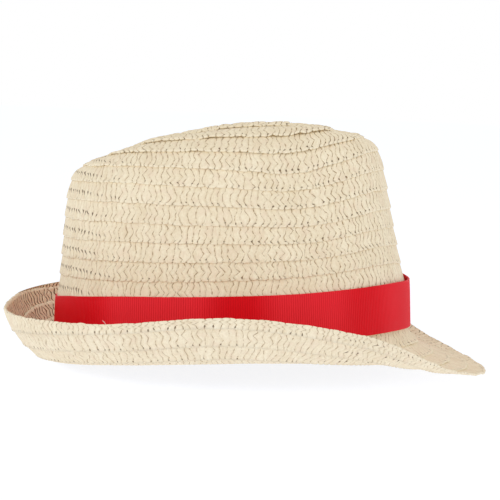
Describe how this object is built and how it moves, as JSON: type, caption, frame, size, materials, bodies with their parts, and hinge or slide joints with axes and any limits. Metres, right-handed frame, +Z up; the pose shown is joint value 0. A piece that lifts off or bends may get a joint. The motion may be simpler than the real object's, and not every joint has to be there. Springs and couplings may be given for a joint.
{
  "type": "straw trilby hat",
  "caption": "Trilby sun hat of sewn plaited straw with a long top dent, a brim turned up at the back and snapped down at the front, and a plain ribbon round the crown.",
  "frame": {"origin": "on the floor under the middle of the hat's bounding box", "axes": "+X to the front of the hat, +Y to the wearer's left, +Z up"},
  "size_m": [0.2706, 0.2388, 0.1338],
  "materials": {
    "straw": "plaited paper straw, matte with a faint sheen",
    "ribbon": "red grosgrain, fine upright ribs, soft sheen"
  },
  "bodies": {
    "root": {"crown": "straw", "brim": "straw", "ribbon_band": "ribbon"}
  },
  "joints": []
}
